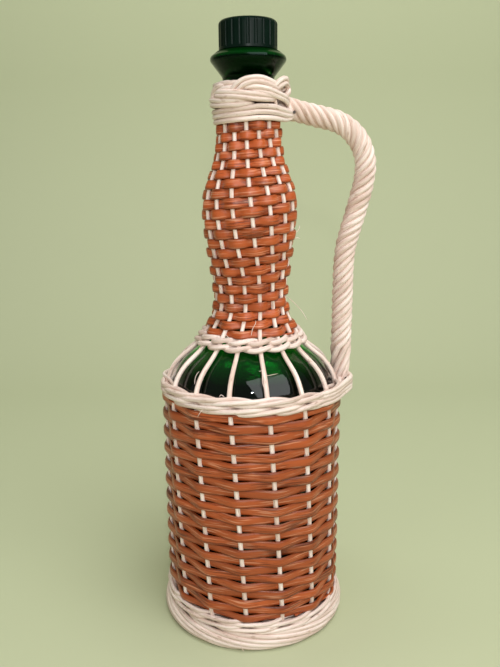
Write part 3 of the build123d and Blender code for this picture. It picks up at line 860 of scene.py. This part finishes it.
# Tacks: three small steel tacks, browned with age, that pin the handle at its root and its foot.
# Their flat heads lie on the rods, and their shanks are driven into the handle from the front.
tack_steel, tree, shader = new_material("tack_steel")
place = add_node(tree, "ShaderNodeTexCoord").outputs["Object"]
rust = add_node(tree, "ShaderNodeTexNoise", {"Scale": 1500.0, "Detail": 4.0}, Vector=place)
steel_colour = colour_steps(tree, rust.outputs["Fac"], [
    (0.35, (0.05, 0.035, 0.028)), (0.65, (0.14, 0.12, 0.11))])
tree.links.new(steel_colour, shader.inputs["Base Color"])
shader.inputs["Metallic"].default_value = 0.8
steel_gloss = add_node(tree, "ShaderNodeMapRange", {"To Min": 0.35, "To Max": 0.7}, Value=rust.outputs["Fac"])
tree.links.new(steel_gloss.outputs["Result"], shader.inputs["Roughness"])
dress_node("tacks", tack_steel)

# Floor and backdrop: one pale matt sheet that lies under the bottle and curves up behind it.
# It isn't part of the object, and is left plain so that only the bottle and its shadow show on it.
sheet_rows = 48
floor_rows = 8
bend_rows = 32
sheet_half_width = 6.0
floor_front = -2.5
floor_depth = 2.9
floor_back = 0.4
bend_radius = 0.4
wall_height = 2.0
sheet_colour, tree, shader = new_material("pale_sheet")
shader.inputs["Base Color"].default_value = (0.5, 0.53, 0.34, 1)
shader.inputs["Roughness"].default_value = 0.9
sweep = bmesh.new()
bmesh.ops.create_grid(sweep, x_segments=1, y_segments=sheet_rows, size=1)
for vert in sweep.verts:
    run = (vert.co.y + 1) / 2 * sheet_rows
    side = vert.co.x * sheet_half_width
    wall_run = run - floor_rows - bend_rows
    if run <= floor_rows:
        vert.co = (side, floor_front + run / floor_rows * floor_depth, 0)
    elif wall_run <= 0:
        angle = (run - floor_rows) / bend_rows * math.pi / 2
        vert.co = (side, floor_back + bend_radius * math.sin(angle),
                   bend_radius - bend_radius * math.cos(angle))
    else:
        wall_share = wall_run / (sheet_rows - floor_rows - bend_rows)
        vert.co = (side, floor_back + bend_radius, bend_radius + wall_share * wall_height)
for face in sweep.faces:
    face.smooth = True
floor_mesh = bpy.data.meshes.new("floor")
sweep.to_mesh(floor_mesh)
sweep.free()
floor = bpy.data.objects.new("floor", floor_mesh)
floor_mesh.materials.append(sheet_colour)
bpy.context.scene.collection.objects.link(floor)

# Lamps: a large window at the front right, soft fills, a small flash by the camera and a light on the sheet.
# The glass and the cap mirror only the window and the flash, as in the photograph.


def add_lamp(name, place, aim, size, watts, colour=(1.0, 1.0, 1.0), mirrored=False):
    """A soft rectangular lamp that shines on a place, seen in the gloss only where it is mirrored."""
    lamp = bpy.data.lights.new(name, "AREA")
    lamp.shape = "RECTANGLE"
    lamp.size, lamp.size_y = size
    lamp.energy = watts
    lamp.color = colour
    holder = bpy.data.objects.new(name, lamp)
    holder.location = place
    holder.visible_glossy = mirrored
    holder.rotation_euler = (Vector(aim) - Vector(place)).to_track_quat("-Z", "Y").to_euler()
    bpy.context.scene.collection.objects.link(holder)


add_lamp("window", (0.62, -1.0, 1.05), aim=(0, 0, 0.15), size=(1.4, 1.4), watts=14,
         colour=(0.97, 0.99, 1.0), mirrored=True)
add_lamp("fill", (-1.0, -0.9, 0.55), aim=(0, 0, 0.15), size=(0.9, 0.9), watts=2.8, colour=(1.0, 0.99, 0.97))
add_lamp("top", (0.3, -0.3, 1.25), aim=(0, 0, 0.1), size=(0.7, 0.7), watts=5.2)
add_lamp("flash", (0.012, -0.42, 0.345), aim=(0, 0, 0.2), size=(0.014, 0.012), watts=0.42, mirrored=True)
add_lamp("backdrop", (0.0, 0.1, 1.3), aim=(0, 0.75, 0.4), size=(1.2, 0.4), watts=5.5)
world = bpy.data.worlds.new("studio")
world.use_nodes = True
world.node_tree.nodes["Background"].inputs["Color"].default_value = (0.9, 0.92, 0.88, 1)
world.node_tree.nodes["Background"].inputs["Strength"].default_value = 0.16
bpy.context.scene.world = world
bpy.context.scene.view_settings.view_transform = "Standard"

# Camera at the photograph's place: 39 cm in front of the bottle's axis and 26 cm above the floor.
# It is level with the upper part of the woven neck, and looks down by about 14 degrees.
camera = bpy.data.objects.new("camera", bpy.data.cameras.new("camera"))
camera.data.lens = 37.8
camera.data.sensor_width = 36
camera.matrix_world = (Matrix.Translation((-0.0005, -0.38695, 0.26236))
                       @ Matrix.Rotation(math.radians(76.31), 4, "X")
                       @ Matrix.Rotation(math.radians(-0.575), 4, "Z"))
bpy.context.scene.collection.objects.link(camera)
bpy.context.scene.camera = camera

bpy.context.view_layer.update()
